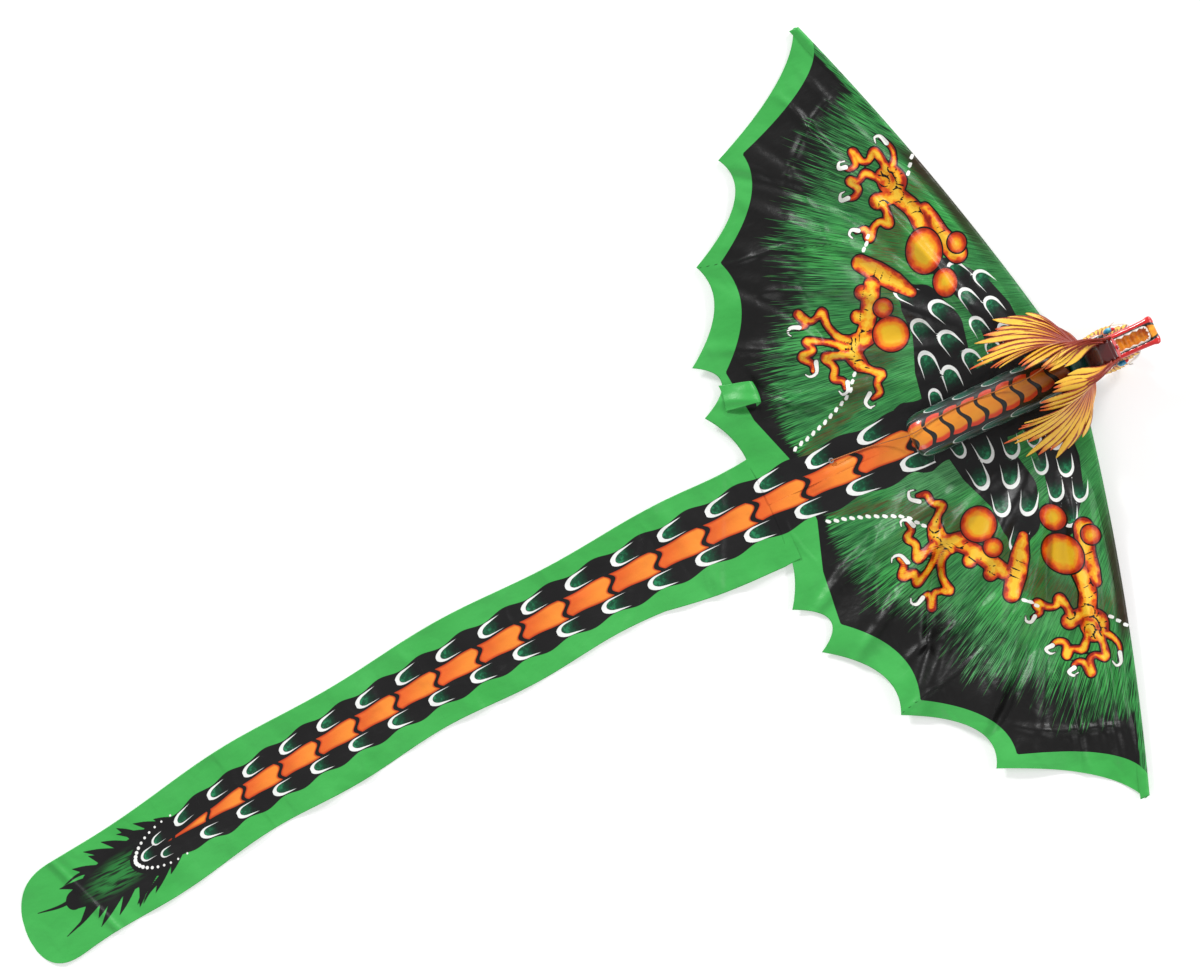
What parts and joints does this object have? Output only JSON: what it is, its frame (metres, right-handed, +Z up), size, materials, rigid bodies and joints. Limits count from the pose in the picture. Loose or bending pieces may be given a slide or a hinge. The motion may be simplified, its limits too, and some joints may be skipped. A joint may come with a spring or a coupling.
{
  "type": "dragon kite",
  "caption": "Bat-winged dragon kite with a carved head, half-round body, leather mane, sleeved bamboo spars and a long ribbon tail, lying belly up.",
  "frame": {"origin": "on the table, under the middle of the kite's box", "axes": "+X from the tail to the head, +Y across the wings to the wing on the left of the body as seen here, +Z up from the table, out of the kite's belly"},
  "size_m": [1.4988, 0.9944, 0.1451],
  "materials": {
    "green_cloth": "satin painted nylon cloth, bright green with black and orange brushwork",
    "bamboo": "split bamboo, scraped smooth",
    "vinyl": "black vinyl tube, satin",
    "body_paint": "gloss paint on light wood",
    "teal_paint": "gloss paint on light wood",
    "red_paint": "high gloss paint on light wood",
    "orange_paint": "gloss paint on light wood",
    "pink_paint": "painted thin leather",
    "white_plastic": "white sheet plastic",
    "eye_paint": "high gloss paint",
    "mane_leather": "painted thin leather, yellow tips and brown roots",
    "steel": "bright zinc",
    "cord": "waxed polyester cord, rust orange"
  },
  "bodies": {
    "airframe": {"body_barrel": "body_paint", "body_screw_front": "steel", "body_screw_rear": "steel", "bridle_line": "cord", "bridle_tie": "cord", "brow_left": "teal_paint", "brow_right": "teal_paint", "cheek_leaf_left": "mane_leather", "cheek_leaf_right": "mane_leather", "crest_left": "mane_leather", "crest_right": "mane_leather", "eye_left": "eye_paint", "eye_right": "eye_paint", "eye_rim_left": "teal_paint", "eye_rim_right": "teal_paint", "jaw_eye": "steel", "lower_jaw": "red_paint", "lower_teeth_left": "white_plastic", "lower_teeth_right": "white_plastic", "mane_left": "mane_leather", "mane_right": "mane_leather", "neck_dowel": "bamboo", "nose": "red_paint", "palate": "orange_paint", "sail_centre": "green_cloth", "sail_eyelet": "steel", "shoulder_block": "bamboo", "shoulder_socket_left": "vinyl", "shoulder_socket_right": "vinyl", "skull": "teal_paint", "spine_rod": "bamboo", "tongue": "pink_paint", "upper_jaw": "red_paint", "upper_teeth_left": "white_plastic", "upper_teeth_right": "white_plastic", "whisker_left": "white_plastic", "whisker_right": "white_plastic"},
    "wing_left": {"wing_sail_left": "green_cloth", "spar_sleeve_left": "green_cloth", "wing_spar_left": "bamboo", "spar_ferrule_left": "vinyl", "spar_cap_left": "vinyl"},
    "wing_right": {"wing_sail_right": "green_cloth", "spar_sleeve_right": "green_cloth", "wing_spar_right": "bamboo", "spar_ferrule_right": "vinyl", "spar_cap_right": "vinyl"},
    "tail_front": {"tail_front": "green_cloth"},
    "tail_middle": {"tail_middle": "green_cloth"},
    "tail_rear": {"tail_rear": "green_cloth"},
    "tail_end": {"tail_end": "green_cloth"}
  },
  "joints": [
    {"name": "wing_left_fold", "type": "hinge", "parent": "airframe", "child": "wing_left", "pos_m": [0.6502, 0.033, 0.02439], "axis": [0.999, 0, 0.0451], "range_deg": [0, 28]},
    {"name": "wing_right_fold", "type": "hinge", "parent": "airframe", "child": "wing_right", "pos_m": [0.6502, -0.033, 0.02439], "axis": [-0.999, 0, -0.0451], "range_deg": [0, 28]},
    {"name": "tail_root_bend", "type": "hinge", "parent": "airframe", "child": "tail_front", "pos_m": [0.25061, 0, 0.00634], "axis": [0, 1, 0], "range_deg": [0, 40]},
    {"name": "tail_first_bend", "type": "hinge", "parent": "tail_front", "child": "tail_middle", "pos_m": [-0.04939, -0.012, 0.00114], "axis": [0, 1, 0], "range_deg": [0, 40]},
    {"name": "tail_second_bend", "type": "hinge", "parent": "tail_middle", "child": "tail_rear", "pos_m": [-0.34939, -0.038, 0.00114], "axis": [0, 1, 0], "range_deg": [0, 40]},
    {"name": "tail_tip_bend", "type": "hinge", "parent": "tail_rear", "child": "tail_end", "pos_m": [-0.65939, -0.078, 0.00114], "axis": [0, 1, 0], "range_deg": [0, 70]}
  ]
}
